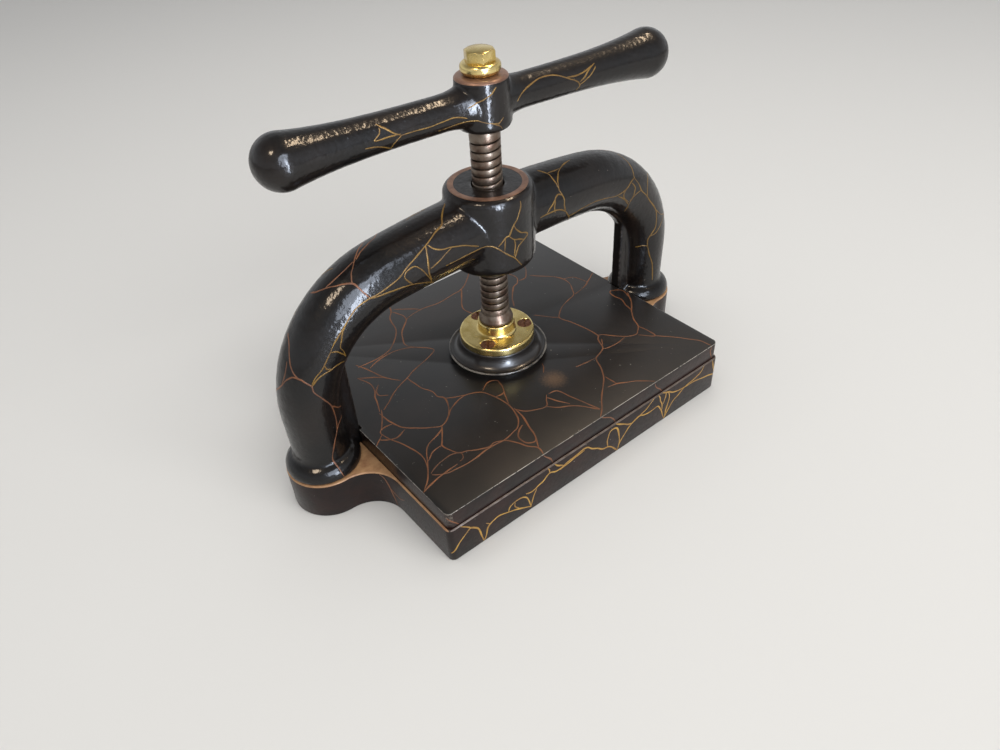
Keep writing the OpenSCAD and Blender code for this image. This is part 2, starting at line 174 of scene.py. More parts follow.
def placeCamera():
    az, el, roll = (math.radians(cameraPlace[k]) for k in ("azimuth", "elevation", "roll"))
    back = Vector((math.sin(az) * math.cos(el), -math.cos(az) * math.cos(el), math.sin(el)))
    level = Vector((0, 0, 1)).cross(back).normalized()
    rise = back.cross(level)
    right = level * math.cos(roll) + rise * math.sin(roll)
    up = rise * math.cos(roll) - level * math.sin(roll)
    data = bpy.data.cameras.new("photoCamera")
    data.lens = cameraPlace["lens"]
    data.sensor_width = cameraPlace["sensor"]
    data.clip_start = cameraPlace["nearest"]
    camera = bpy.data.objects.new("photoCamera", data)
    eye = (Vector(cameraPlace["target"]) + back * cameraPlace["distance"]) * mm
    camera.matrix_world = Matrix.Translation(eye) @ Matrix((right, up, back)).transposed().to_4x4()
    scene.collection.objects.link(camera)
    scene.camera = camera


placeCamera()
print("camera placed")


# pale floor and soft studio light

studio = {
    "floor": "#d9d7d4",
    "floorSize": 12.0,
    "floorRough": 0.9,
    "floorShine": 0.1,
    "sky": "#f1f3f6",
    "wallLevel": 0.78,
    "ceilingLevel": 0.27,
    "wallTop": 0.25,  # steepness of the view at which the walls end, and at which the ceiling starts
    "ceilingFrom": 0.8,
    "lamps": [
        # name, place in metres, aims at, width, height, watts, spread in degrees, colour
        ("frontWall", (0.1, -2.3, 1.5), (0, 0, 0.1), 2.8, 1.2, 48, 180, "#fbfaf7"),
        ("topFill", (0, 0, 1.8), (0, 0, 0), 2.0, 2.0, 22, 180, "#fbfaf7"),
        ("frontWindow", (-0.36, -1.50, 0.90), (0, 0, 0.12), 0.8, 1.0, 21, 180, "#e2edff"),
        ("upperWindow", (0.12, -1.25, 1.30), (0, 0, 0.2), 0.5, 0.3, 2.4, 180, "#e2edff"),
        ("lowWindow", (-0.136, -0.584, 0.5), (0, 0, 0.5), 0.1, 0.96, 1.9, 70, "#e2edff"),
        ("ceilingStrip", (0.62, -0.1, 1.45), (0, 0, 0.1), 0.8, 0.1, 8, 180, "#ffe2bf"),
        ("leftCeiling", (-0.86, -0.28, 1.35), (0, 0, 0.1), 0.3, 0.3, 6.5, 180, "#ffe6c8"),
    ],
    # these are never seen in gloss and the other lamps only there, so that the floor stays even
    "fills": ("frontWall", "topFill"),
}


def layFloor():
    bm = bmesh.new()
    bmesh.ops.create_grid(bm, x_segments=1, y_segments=1, size=studio["floorSize"])
    bmesh.ops.recalc_face_normals(bm, faces=bm.faces[:])
    mesh = bpy.data.meshes.new("paleFloor")
    bm.to_mesh(mesh)
    bm.free()
    floor = bpy.data.objects.new("paleFloor", mesh)
    scene.collection.objects.link(floor)
    # dull pale paper: even tone, hardly any shine
    material, _, shader, _ = startMaterial("matt pale paper")
    shader.inputs["Base Color"].default_value = linear(studio["floor"])
    shader.inputs["Roughness"].default_value = studio["floorRough"]
    shader.inputs["Specular IOR Level"].default_value = studio["floorShine"]
    mesh.materials.append(material)


def lightStudio():
    world = bpy.data.worlds.new("softStudio")
    world.use_nodes = True
    tree = world.node_tree
    background = tree.nodes["Background"]
    # pale walls all round, darker towards the ceiling, so that black gloss stays black
    towards = addNode(tree, "TexCoord").outputs["Generated"]
    axes = addNode(tree, "SeparateXYZ", None, {0: towards})
    level = addNode(tree, "MapRange", None,
                    {"Value": axes.outputs["Z"], "From Min": studio["wallTop"],
                     "From Max": studio["ceilingFrom"], "To Min": studio["wallLevel"],
                     "To Max": studio["ceilingLevel"]})
    background.inputs["Color"].default_value = linear(studio["sky"])
    tree.links.new(level.outputs[0], background.inputs["Strength"])
    scene.world = world

    for name, place, aim, width, height, watts, spread, colour in studio["lamps"]:
        lamp = bpy.data.lights.new(name, "AREA")
        lamp.shape = "RECTANGLE"
        lamp.size = width
        lamp.size_y = height
        lamp.energy = watts
        lamp.spread = math.radians(spread)
        lamp.color = linear(colour)[:3]
        holder = bpy.data.objects.new(name, lamp)
        holder.location = place
        holder.rotation_euler = (Vector(place) - Vector(aim)).to_track_quat("Z", "Y").to_euler()
        holder.visible_diffuse = name in studio["fills"]
        holder.visible_glossy = name not in studio["fills"]
        scene.collection.objects.link(holder)


layFloor()
lightStudio()
scene.view_settings.view_transform = "Standard"
print("studio lit")


# black japan, one look for each casting

varnish = {
    # detail and roughness of each pattern, by the name of its size
    "patterns": {"cloudMm": (4.0, 0.6), "dragMm": (2.5, 0.6), "chipMm": (2.0, 0.5), "rippleMm": (1.0, 0.4)},
    "thinFrom": 0.4,  # cloud values over which the black thins to brown
    "thinTo": 0.72,
    "handsFrom": 0.38,  # cloud values over which hands have reached the edges
    "handsTo": 0.52,
    "dragFrom": 0.3,  # brush drag from its smoothest to its roughest
    "dragTo": 0.7,
    "chipSpan": 0.04,
    "chipShare": 0.7,
    "scuffInner": 0.7,  # shares of the scuffed spot's radius
    "scuffOuter": 1.5,
    "scuffShare": 0.6,
    "rippleDepth": 0.4,  # millimetres
    "ior": 1.54,
}


def japan(name, look):
    # stoved black varnish on cast iron: deep gloss, soft brush drag, brown where it thins, grey on rubbed edges
    material, tree, shader, place = startMaterial(name)
    cloud, drag, chips, ripple = (
        addNode(tree, "TexNoise", None, {"Vector": place, "Scale": perMm(look[size]), "Detail": detail,
                                         "Roughness": rough}).outputs["Fac"]
        for size, (detail, rough) in varnish["patterns"].items())
    thin = addNode(tree, "MapRange", None,
                   {"Value": cloud, "From Min": varnish["thinFrom"], "From Max": varnish["thinTo"]})
    tone = addNode(tree, "Mix", {"data_type": "RGBA"},
                   {"Factor": thin.outputs[0], "A": linear(look["black"]), "B": linear(look["brown"])})
    edges = addNode(tree, "Attribute", {"attribute_name": "edgeWear"})
    hands = addNode(tree, "MapRange", None,
                    {"Value": cloud, "From Min": varnish["handsFrom"], "From Max": varnish["handsTo"]})
    handled = addNode(tree, "Math", {"operation": "MULTIPLY"},
                      {0: edges.outputs["Fac"], 1: hands.outputs[0]})
    streaks = addNode(tree, "MapRange", None,
                      {"Value": drag, "From Min": look["wearFrom"],
                       "From Max": look["wearFrom"] + look["wearSpan"]})
    rubbed = addNode(tree, "Math", {"operation": "MULTIPLY"},
                     {0: handled.outputs[0], 1: streaks.outputs[0]})
    chipped = addNode(tree, "MapRange", None,
                      {"Value": chips, "From Min": look["chipFrom"],
                       "From Max": look["chipFrom"] + varnish["chipSpan"], "To Max": varnish["chipShare"]})
    lost = addNode(tree, "Math", {"operation": "MAXIMUM"},
                   {0: rubbed.outputs[0], 1: chipped.outputs[0]})
    colour = addNode(tree, "Mix", {"data_type": "RGBA"},
                     {"Factor": lost.outputs[0], "A": tone.outputs["Result"], "B": linear(look["worn"])})
    if "patch" in look:
        # a spot scuffed down to brown
        x, y, z, radius = (size * mm for size in look["patch"])
        near = addNode(tree, "VectorMath", {"operation": "DISTANCE"}, {0: place, 1: (x, y, z)})
        ragged = addNode(tree, "Math", {"operation": "MULTIPLY_ADD"},
                         {0: drag, 1: radius, 2: near.outputs["Value"]})
        scuff = addNode(tree, "MapRange", None,
                        {"Value": ragged.outputs[0], "From Min": varnish["scuffInner"] * radius,
                         "From Max": varnish["scuffOuter"] * radius, "To Min": varnish["scuffShare"],
                         "To Max": 0.0})
        colour = addNode(tree, "Mix", {"data_type": "RGBA"},
                         {"Factor": scuff.outputs[0], "A": colour.outputs["Result"],
                          "B": linear(look["scuffed"])})
    tree.links.new(colour.outputs["Result"], shader.inputs["Base Color"])
    gloss = addNode(tree, "MapRange", None,
                    {"Value": drag, "From Min": varnish["dragFrom"], "From Max": varnish["dragTo"],
                     "To Min": look["smooth"], "To Max": look["rough"]})
    tree.links.new(gloss.outputs[0], shader.inputs["Roughness"])
    bump = addNode(tree, "Bump", None,
                   {"Height": ripple, "Strength": look["bump"], "Distance": varnish["rippleDepth"] * mm})
    tree.links.new(bump.outputs[0], shader.inputs["Normal"])
    tree.links.new(bump.outputs[0], shader.inputs["Coat Normal"])
    shader.inputs["IOR"].default_value = varnish["ior"]
    shader.inputs["Specular IOR Level"].default_value = look["body"]
    shader.inputs["Coat Weight"].default_value = look["coat"]
    shader.inputs["Coat Roughness"].default_value = look["coatRough"]
    return material


archJapan = japan("stoved black japan on arch and handle", {
    "black": "#0c0a0a", "brown": "#1a1310", "worn": "#6b625b",
    "cloudMm": 45, "dragMm": 3.0, "chipMm": 3.0, "rippleMm": 2.6,
    "chipFrom": 0.76, "wearFrom": 0.46, "wearSpan": 0.12, "smooth": 0.3, "rough": 0.5,
    "bump": 0.42, "body": 0.1, "coat": 0.62, "coatRough": 0.13,
})
# brown-black japan for the bed's walls; on the platen's walls the same japan is a painted dark reddish
# reflection
bedJapanAndPlatenWallReflection = japan("brown-black japan on bed walls", {
    "black": "#150d0c", "brown": "#2a1713", "worn": "#8c847b",
    "cloudMm": 30, "dragMm": 2.0, "chipMm": 3.0, "rippleMm": 4.0,
    "chipFrom": 0.74, "wearFrom": 0.42, "wearSpan": 0.3, "smooth": 0.3, "rough": 0.45,
    "bump": 0.25, "body": 0.16, "coat": 0.28, "coatRough": 0.16,
})
platenJapan = japan("satin black japan on platen", {
    "black": "#141211", "brown": "#211b18", "worn": "#a39d94",
    "cloudMm": 60, "dragMm": 1.8, "chipMm": 2.6, "rippleMm": 6.0,
    "chipFrom": 0.75, "wearFrom": 0.36, "wearSpan": 0.12, "smooth": 0.32, "rough": 0.36,
    "bump": 0.06, "body": 0.5, "coat": 0.2, "coatRough": 0.26,
    "patch": (8, -65, 50.3, 13), "scuffed": "#6e5238",  # middle and radius of the scuffed spot, in millimetres
})
socketJapan = japan("glossy black japan on socket", {
    "black": "#171413", "brown": "#221c19", "worn": "#7e776e",
    "cloudMm": 25, "dragMm": 1.4, "chipMm": 2.0, "rippleMm": 3.0,
    "chipFrom": 0.8, "wearFrom": 0.3, "wearSpan": 0.12, "smooth": 0.28, "rough": 0.4,
    "bump": 0.1, "body": 0.45, "coat": 0.4, "coatRough": 0.1,
})


# paints

starved = {"from": 0.36, "to": 0.66}  # pattern values over which the full colour turns into the starved one


def paint(name, look):
    # thin brushed line or wash of bronze-powder paint: even colour with darker starved places, half gloss
    material, tree, shader, place = startMaterial(name)
    patch = addNode(tree, "TexNoise", None,
                    {"Vector": place, "Scale": perMm(look["patchMm"]), "Detail": 4.0, "Roughness": 0.65})
    share = addNode(tree, "MapRange", None,
                    {"Value": patch.outputs["Fac"], "From Min": starved["from"], "From Max": starved["to"]})
    colour = addNode(tree, "Mix", {"data_type": "RGBA"},
                     {"Factor": share.outputs[0], "A": linear(look["full"]), "B": linear(look["starved"])})
    tree.links.new(colour.outputs["Result"], shader.inputs["Base Color"])
    shader.inputs["Roughness"].default_value = look["rough"]
    shader.inputs["Metallic"].default_value = look["metal"]
    return material


goldVein = paint("bright gold line on bed walls", {
    "full": "#be9440", "starved": "#8c6630", "patchMm": 14, "rough": 0.4, "metal": 0.25})
dullGold = paint("rubbed gold line on arch and handle", {
    "full": "#80601f", "starved": "#5e431a", "patchMm": 12, "rough": 0.5, "metal": 0.35})
copperVein = paint("copper-brown line", {
    "full": "#84512f", "starved": "#5a3823", "patchMm": 18, "rough": 0.45, "metal": 0.15})
bronzeWash = paint("bronze wash on bed top", {
    "full": "#b08860", "starved": "#8f6747", "patchMm": 9, "rough": 0.5, "metal": 0.1})
rubbedIron = paint("rubbed grey iron edge", {
    "full": "#6c615a", "starved": "#4a3c34", "patchMm": 5, "rough": 0.4, "metal": 0.3})
ringPaint = paint("copper ring line on boss", {
    "full": "#8e6a54", "starved": "#684a3a", "patchMm": 8, "rough": 0.35, "metal": 0.3})


# metals

lathe = {
    "wavesPerScale": 20,  # the wave texture's own factor
    "shake": 0.6,
    "dullFrom": 0.42,  # pattern values over which the metal turns dull in colour, and in gloss
    "dullTo": 0.72,
    "glossFrom": 0.3,
    "glossTo": 0.7,
    "ringDepth": 0.05,  # millimetres
}


def turnedMetal(name, look):
    # metal fresh off the lathe: fine rings round the axis catch the light, dulled by handling
    material, tree, shader, place = startMaterial(name)
    rings = addNode(tree, "TexWave", {"wave_type": "RINGS", "rings_direction": "Z"},
                    {"Vector": place, "Scale": 2 * math.pi / (lathe["wavesPerScale"] * look["ringMm"] * mm),
                     "Distortion": lathe["shake"], "Detail": 2.0})
    dull = addNode(tree, "TexNoise", None,
                   {"Vector": place, "Scale": perMm(look["dullMm"]), "Detail": 4.0, "Roughness": 0.6})
    share = addNode(tree, "MapRange", None,
                    {"Value": dull.outputs["Fac"], "From Min": lathe["dullFrom"], "From Max": lathe["dullTo"]})
    colour = addNode(tree, "Mix", {"data_type": "RGBA"},
                     {"Factor": share.outputs[0], "A": linear(look["bright"]), "B": linear(look["dull"])})
    tree.links.new(colour.outputs["Result"], shader.inputs["Base Color"])
    gloss = addNode(tree, "MapRange", None,
                    {"Value": dull.outputs["Fac"], "From Min": lathe["glossFrom"], "From Max": lathe["glossTo"],
                     "To Min": look["smooth"], "To Max": look["rough"]})
    tree.links.new(gloss.outputs[0], shader.inputs["Roughness"])
    bump = addNode(tree, "Bump", None,
                   {"Height": rings.outputs["Fac"], "Strength": look["bump"],
                    "Distance": lathe["ringDepth"] * mm})
    tree.links.new(bump.outputs[0], shader.inputs["Normal"])
    shader.inputs["Metallic"].default_value = 1.0
    return material


turnedBrass = turnedMetal("polished turned brass", {
    "bright": "#e2cc8c", "dull": "#bfa560", "ringMm": 0.9, "dullMm": 12,
    "smooth": 0.18, "rough": 0.34, "bump": 0.12,
})
gunmetal = turnedMetal("dull gunmetal", {
    "bright": "#8a7350", "dull": "#6b5638", "ringMm": 1.0, "dullMm": 10,
    "smooth": 0.35, "rough": 0.5, "bump": 0.2,
})
oiledSteel = turnedMetal("oiled dark steel", {
    "bright": "#6f6a64", "dull": "#4a433d", "ringMm": 0.8, "dullMm": 9,
    "smooth": 0.3, "rough": 0.45, "bump": 0.2,
})
rustySteel = turnedMetal("rust-brown steel screws", {
    "bright": "#8a6450", "dull": "#4e3021", "ringMm": 0.7, "dullMm": 2.0,
    "smooth": 0.45, "rough": 0.7, "bump": 0.4,
})

thread = {
    "root": 10.5,  # millimetres of radius from the root, darkened for oil and as painted groove shade, to the burnished crest
    "crest": 11.5,
    "stainMm": 9,
    "stainFrom": 0.4,
    "stainTo": 0.62,
    "rootOilAndShade": "#4c4036",
    "rootOldOilAndShade": "#33291f",
    "bright": "#7b6f63",
    "tarnished": "#624f43",
    "rootRough": 0.5,
    "crestRough": 0.37,
    "metal": 0.85,
}


def threadSteelWithGrooveShade():
    # square-cut steel screw: crests burnished by the nut, flanks and roots darker for old oil and as painted
    # shade in the grooves
    material, tree, shader, place = startMaterial("burnished steel thread with painted groove shade")
    axes = addNode(tree, "SeparateXYZ", None, {0: place})
    flat = addNode(tree, "CombineXYZ", None, {0: axes.outputs["X"], 1: axes.outputs["Y"]})
    radius = addNode(tree, "VectorMath", {"operation": "LENGTH"}, {0: flat.outputs[0]})
    crest = addNode(tree, "MapRange", None,
                    {"Value": radius.outputs["Value"], "From Min": thread["root"] * mm,
                     "From Max": thread["crest"] * mm})
    stain = addNode(tree, "TexNoise", None,
                    {"Vector": place, "Scale": perMm(thread["stainMm"]), "Detail": 4.0, "Roughness": 0.6})
    share = addNode(tree, "MapRange", None,
                    {"Value": stain.outputs["Fac"], "From Min": thread["stainFrom"],
                     "From Max": thread["stainTo"]})
    rootOilAndShade = addNode(tree, "Mix", {"data_type": "RGBA"},
                  {"Factor": share.outputs[0], "A": linear(thread["rootOilAndShade"]), "B": linear(thread["rootOldOilAndShade"])})
    bright = addNode(tree, "Mix", {"data_type": "RGBA"},
                     {"Factor": share.outputs[0], "A": linear(thread["bright"]),
                      "B": linear(thread["tarnished"])})
    # painted shade and oil: the mix by radius makes roots and flanks darker than the crests
    colour = addNode(tree, "Mix", {"data_type": "RGBA"},
                     {"Factor": crest.outputs[0], "A": rootOilAndShade.outputs["Result"], "B": bright.outputs["Result"]})
    tree.links.new(colour.outputs["Result"], shader.inputs["Base Color"])
    gloss = addNode(tree, "MapRange", None,
                    {"Value": crest.outputs[0], "To Min": thread["rootRough"], "To Max": thread["crestRough"]})
    tree.links.new(gloss.outputs[0], shader.inputs["Roughness"])
    shader.inputs["Metallic"].default_value = thread["metal"]
    return material


screwSteel = threadSteelWithGrooveShade()
print("materials made")


# bed: hollow cast base with two ears, bronze wash on its top edge

bed = {
    "edge": 1.2,
    "segments": 3,
    "washAbove": 33.0,
    "sideStrip": 148.5,
    "frontStrip": 125.7,
    "upward": 0.25,
    "wear": {"low": 0.03, "high": 0.09, "facing": 0.2},
    "room": (0.999, 0.9985, 1),  # a hair smaller, so that the painted lines stay inside the bed's own size
}


def makeBed():
    bm = cadCopy("base")
    roundEdges(bm, bed["edge"], bed["segments"])
    bmesh.ops.scale(bm, vec=bed["room"], verts=bm.verts[:])
    for side in (-1, 1):
        for axis, reach in ((Vector((1, 0, 0)), bed["sideStrip"]), (Vector((0, 1, 0)), bed["frontStrip"])):
            bmesh.ops.bisect_plane(bm, geom=bm.verts[:] + bm.edges[:] + bm.faces[:], dist=0.001 * mm,
                                   plane_co=axis * side * reach * mm, plane_no=axis)
    markWear(bm, **bed["wear"])
    for face in bm.faces:
        middle = face.calc_center_median() / mm
        if face.normal.z > bed["upward"] and middle.z > bed["washAbove"]:
            if abs(middle.x) > bed["sideStrip"]:
                face.material_index = 1
            elif abs(middle.y) > bed["frontStrip"]:
                face.material_index = 2
    return keepPiece("bedCasting", bm, "frame", [bedJapanAndPlatenWallReflection, bronzeWash, rubbedIron], ["base"])


# arch: one casting with boss, foot collars and guide ribs

arch = {"voxel": 1.15, "rounds": 9, "wear": {"low": 0.07, "high": 0.2, "below": 120}}


def makeArch():
    bm = castSkin(cadCopy("arch"), arch["voxel"], arch["rounds"])
    markWear(bm, **arch["wear"])
    return keepPiece("archCasting", bm, "frame", [archJapan], ["arch"], sharp=80)


# platen: flat plate that rides between the guide ribs, its walls browner than its top as a painted dark reddish
# reflection

platen = {"edge": 1.4, "segments": 4, "wear": {"low": 0.03, "high": 0.09, "facing": 0.05}, "reflectionWallBelow": 0.1}


def makePlaten():
    bm = cadCopy("platen")
    roundEdges(bm, platen["edge"], platen["segments"])
    markWear(bm, **platen["wear"])
    # painted reflection: faces turned sideways or down take the bed's darker, redder japan, standing for a dark
    # red surface reflected in the walls
    for face in bm.faces:
        face.material_index = 1 if face.normal.z < platen["reflectionWallBelow"] else 0
    return keepPiece("platenPlate", bm, "platen", [platenJapan, bedJapanAndPlatenWallReflection], ["platen"])


# handle: cross bar with swelling ends and a round hub

handle = {"voxel": 0.9, "rounds": 6, "wear": {"low": 0.07, "high": 0.2}}


def makeHandle():
    bm = castSkin(cadCopy("handle"), handle["voxel"], handle["rounds"])
    markWear(bm, **handle["wear"])
    return keepPiece("crossHandle", bm, "spindle", [archJapan], ["handle"], sharp=80)


bedPiece = makeBed()
archPiece = makeArch()
platenPiece = makePlaten()
handlePiece = makeHandle()
print("castings made")


# screw: thread cut by spinning one pitch up the axis, its grooves fading out on the flared foot

screw = {
    "radius": 11.7,
    "depth": 1.6,
    "lead": 6.35,
    "threadFoot": 89.1,
    "turns": 25,
    "stepsPerTurn": 48,
    # depth under the crest and height, over one pitch
    "pitch": [(1.6, 0.0), (0.35, 0.25), (0.1, 0.36), (0.0, 0.55), (0.0, 4.85), (0.1, 5.08), (0.35, 5.2),
              (1.6, 5.5), (1.6, 6.35)],
    "flare": (86.3, 101.8, 3.05),  # foot, top and reach of the flared shoulder
    "fade": (90.0, 98.0),  # the grooves deepen from the first height to the second
    "foot": [(0, 66.6), (7.0, 66.6), (7.0, 66.9), (8.7, 66.9), (8.7, 84.3), (14.15, 84.3), (14.7, 84.9)],
    "coreRings": 18,
    "coreSteps": 64,
    "coreSink": 0.05,
    "neck": [(10.0, 246.5), (11.75, 247.0), (11.75, 257.0), (8.0, 262.0), (0, 262.0)],
}


def screwRadius(depth, z):
    foot, top, reach = screw["flare"]
    shallow, full = screw["fade"]
    rise = min(1, max(0, (z - foot) / (top - foot)))
    return screw["radius"] + reach * (1 - rise) ** 2 - depth * min(1, max(0, (z - shallow) / (full - shallow)))


def makeScrew():
    heights = [screw["flare"][0] + i for i in range(screw["coreRings"])]
    core = [(screwRadius(screw["depth"], z) - screw["coreSink"], z) for z in heights]
    bm = turned(screw["foot"] + core + screw["neck"], screw["coreSteps"])
    coreVerts = set(bm.verts)
    verts = [bm.verts.new(((screw["radius"] - d) * mm, 0, (screw["threadFoot"] + z) * mm))
             for d, z in screw["pitch"]]
    edges = [bm.edges.new(pair) for pair in zip(verts, verts[1:])]
    steps = screw["stepsPerTurn"] * screw["turns"]
    bmesh.ops.spin(bm, geom=verts + edges, cent=(0, 0, 0), axis=(0, 0, 1), angle=2 * math.pi * screw["turns"],
                   dvec=(0, 0, screw["lead"] * mm / screw["stepsPerTurn"]), steps=steps, use_merge=False)
    for v in bm.verts:
        if v not in coreVerts:
            reach = v.co.xy.length / mm
            v.co.xy = v.co.xy * screwRadius(screw["radius"] - reach, v.co.z / mm) / reach
    bmesh.ops.remove_doubles(bm, verts=bm.verts[:], dist=0.01 * mm)
    bmesh.ops.recalc_face_normals(bm, faces=bm.faces[:])
    return keepPiece("pressScrew", bm, "spindle", [screwSteel], ["screw"], sharp=50)


# socket: dished iron cup on the platen, its worn rim standing out over a smaller foot

def quarterDish(radius, height, inward, rise, steps):
    # a quarter ellipse from the rim up and in to the socket's wall
    turns = [math.radians(90 * i / steps) for i in range(1, steps + 1)]
    return [(radius - inward * math.sin(a), height + rise * (1 - math.cos(a))) for a in turns]


socket = {
    "foot": 50.3,
    "steps": 96,
    "profile": [(17.7, 0.0), (38.4, 0.0), (38.8, 0.4), (38.8, 3.4), (39.3, 3.9)]
               + arcPoints((42.5, 4.8), 0.9, -90, 165, 14) + quarterDish(40.5, 4.5, 7.4, 10, 15)
               + [(33.1, 15.4), (32.9, 15.95), (32.4, 16.2), (17.7, 16.2), (17.7, 0.0)],
    "wear": {"low": 0.04, "high": 0.1, "below": 58},
}


def makeSocket():
    bm = turned(socket["profile"], socket["steps"], socket["foot"])
    markWear(bm, **socket["wear"])
    return keepPiece("socketCup", bm, "platen", [socketJapan], ["socket"], sharp=60)


# flange: turned brass cap held by three screws in round recesses

flange = {
    "foot": 66.5,
    "steps": 96,
    "profile": [(8.75, 0.0), (31.9, 0.0), (32.5, 0.6)] + arcPoints((30.5, 5.0), 2.0, 0, 90, 6)
               + arcPoints((18.5, 9.5), 2.5, 270, 180, 6) + arcPoints((14.6, 16.1), 1.4, 0, 90, 5)
               + [(8.75, 17.5), (8.75, 0.0)],
    "sharp": 40,
    "top": 7.0,
    "screwAngles": (-147, -27, 93),
    "screwCircle": 24.8,
    "recess": 6.25,
    "recessFloor": 3.9,
    "recessDepth": 10,
    "recessSides": 40,
    "mouth": 0.4,
    "overlap": 0.1,
    "headScale": 1.28,
}


def overScrew(angle, height):
    a = math.radians(angle)
    spot = Vector((flange["screwCircle"] * math.cos(a), flange["screwCircle"] * math.sin(a), height))
    return Matrix.Translation(spot * mm)


def makeFlange():
    bm = turned(flange["profile"], flange["steps"], flange["foot"])
    piece = keepPiece("swivelFlange", bm, "platen", [turnedBrass], ["swivel_flange"],
                      sharp=flange["sharp"])
    # a straight recess, and a cone at 45 degrees for its mouth whose foot lies a little inside the recess
    inner = flange["recess"] - flange["overlap"]
    rise = 2 * (2 * flange["mouth"] + flange["overlap"])
    cuts = [(flange["recess"], flange["recess"], flange["recessDepth"],
             flange["foot"] + flange["recessFloor"] + flange["recessDepth"] / 2),
            (inner, inner + rise, rise, flange["foot"] + flange["top"] + flange["mouth"])]
    cutter = bmesh.new()
    for angle in flange["screwAngles"]:
        for low, high, depth, middle in cuts:
            bmesh.ops.create_cone(cutter, cap_ends=True, segments=flange["recessSides"], radius1=low * mm,
                                  radius2=high * mm, depth=depth * mm, matrix=overScrew(angle, middle))
    cutMesh = bpy.data.meshes.new("recessCutter")
    cutter.to_mesh(cutMesh)
    cutter.free()
    cut = bpy.data.objects.new("recessCutter", cutMesh)
    scene.collection.objects.link(cut)
    carve = piece.modifiers.new("recesses", "BOOLEAN")
    carve.operation = "DIFFERENCE"
    carve.solver = "EXACT"
    carve.use_self = True
    carve.object = cut
    carved = bpy.data.meshes.new_from_object(piece.evaluated_get(bpy.context.evaluated_depsgraph_get()))
    piece.modifiers.clear()
    piece.data = carved
    carved.name = "swivelFlange"
    carved.set_sharp_from_angle(angle=math.radians(flange["sharp"]))
    bpy.data.objects.remove(cut)
    return piece


# fasteners: slotted flange screws with broad heads, and the hexagon bolt on the hub

fasteners = {"screwEdge": 0.25, "screwSegments": 2, "boltEdge": 0.5, "boltSegments": 3, "boltSharpest": 25}


def makeFasteners():
    broad = (flange["headScale"], flange["headScale"], 1)
    for number, angle in enumerate(flange["screwAngles"], 1):
        bm = cadCopy(f"flange_screw_{number}")
        bmesh.ops.scale(bm, vec=broad, space=overScrew(angle, 0).inverted(), verts=bm.verts[:])
        roundEdges(bm, fasteners["screwEdge"], fasteners["screwSegments"])
        keepPiece(f"flangeScrew{number}", bm, "platen", [rustySteel], [f"flange_screw_{number}"])
    bm = cadCopy("handle_bolt")
    roundEdges(bm, fasteners["boltEdge"], fasteners["boltSegments"], fasteners["boltSharpest"])
    keepPiece("handleBolt", bm, "spindle", [turnedBrass], ["handle_bolt"])


# washer: plump brass ring between hub and bolt

washer = {
    "foot": 292.2,
    "steps": 80,
    "profile": [(5.0, 0.0)] + arcPoints((9.8, 4.8), 4.8, -80, 0, 8) + arcPoints((11.2, 5.4), 3.4, 0, 80, 8)
               + [(5.0, 8.8), (5.0, 0.0)],
}


def makeWasher():
    bm = turned(washer["profile"], washer["steps"], washer["foot"])
    return keepPiece("handleWasher", bm, "spindle", [turnedBrass], ["handle_washer"])


# copper paint round the top of the boss and over the top of the handle's hub

ringSteps = 128
bossRing = {
    "top": 211.0,
    "profile": [(26.2, -0.3), (26.4, 0.1), (29.5, 0.12)] + arcPoints((29.55, -5.8), 5.92, 90, 74, 3)
               + [(30.9, -0.8)],
}
hubRing = {
    "top": 292.2,
    "profile": [(10.4, -0.3), (10.6, 0.1)] + arcPoints((16.6, -3.0), 3.1, 90, 22, 7) + [(18.8, -2.5)],
}


def makeRing(name, ring, body):
    bm = turned(ring["profile"], ringSteps, ring["top"])
    return keepPiece(name, bm, body, [ringPaint])


makeScrew()
makeSocket()
makeFlange()
makeFasteners()
makeWasher()
makeRing("bossRing", bossRing, "frame")
makeRing("hubRing", hubRing, "spindle")

# pieces inside the boss and the socket and under the ears, which keep their own shape
insideMetals = {
    "screw_nut": gunmetal, "thrust_pad": oiledSteel, "thrust_button": oiledSteel, "button_pin": oiledSteel,
    "arch_bolt_left": oiledSteel, "arch_bolt_right": oiledSteel, "arch_washer_left": oiledSteel,
    "arch_washer_right": oiledSteel,
}
for name, material in insideMetals.items():
    nodes[name].data.materials.clear()
    nodes[name].data.materials.append(material)
print("turned pieces made")


# veins: fine brushed lines of the marbled pattern, laid on the finished pieces

veinBrush = {
    "step": 1.5,
    "wander": 0.5,
    "grain": 0.11,
    "apart": 7.3,  # sets one stroke's wandering off from the next one's
    "load": 0.78,  # share of the full width, and how much it swells and thins
    "swell": 0.45,
    "swellMm": 9,
    "tip": 0.45,  # the brush lifts at both ends, and comes down by the taper at each step
    "taper": 0.14,
    "lanes": [(0, 0.10), (0.7, 0.08), (1, -0.08)],  # share of the half width and height, from middle to edge
    "fewest": 4,
    "seed": 7,
}
noise.seed_set(veinBrush["seed"])  # so that the lines wander the same way each run
veinWidth = {"platen": 1.6, "bed": 2.0, "bedCopper": 1.7, "archGold": 1.55, "archCopper": 1.5, "handle": 1.35}


def brushPath(points):
    # close points on a smooth line through the given ones
    ends = [Vector((*p, 0)) for p in [points[0]] + points + [points[-1]]]
    path = []
    for before, first, last, after in zip(ends, ends[1:], ends[2:], ends[3:]):
        count = max(2, math.ceil((last - first).length / veinBrush["step"]))
        for i in range(count):
            t = i / count
            path.append(0.5 * (2 * first + (last - before) * t
                               + (2 * before - 5 * first + 4 * last - after) * t * t
                               + (3 * first - before - 3 * last + after) * t ** 3))
    return path + [ends[-1]]


